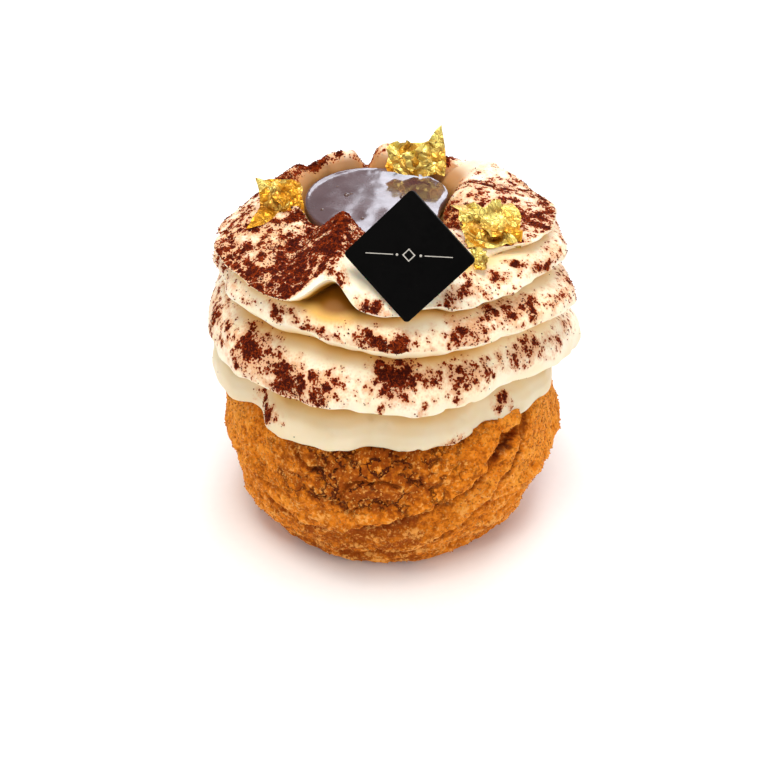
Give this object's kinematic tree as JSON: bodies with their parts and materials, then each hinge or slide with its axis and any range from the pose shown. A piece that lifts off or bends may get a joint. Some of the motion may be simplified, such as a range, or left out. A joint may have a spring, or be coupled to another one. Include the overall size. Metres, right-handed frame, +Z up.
{
  "type": "choux pastry",
  "caption": "Filled choux bun with a cracked sugar crust, topped by a ruffled ribbon of piped cream round a gel pool, with a square plaque and gold leaf.",
  "frame": {"origin": "centre of the bun's flat foot", "axes": "+Z up through the bun, -Y towards the front where the plaque leans, +X to the right seen from the front"},
  "size_m": [0.0875, 0.0849, 0.0973],
  "materials": {
    "choux": "matt baked crust, rough and cracked",
    "cream": "soft satin",
    "gel": "wet gloss",
    "chocolate": "smooth satin",
    "gold": "bright crumpled leaf"
  },
  "bodies": {
    "root": {"choux_bun": "choux", "piped_cream": "cream", "coffee_gel": "gel", "chocolate_plaque": "chocolate", "gold_leaf_back": "gold", "gold_leaf_left": "gold", "gold_leaf_right": "gold", "gold_leaf_scrap": "gold"}
  },
  "joints": []
}
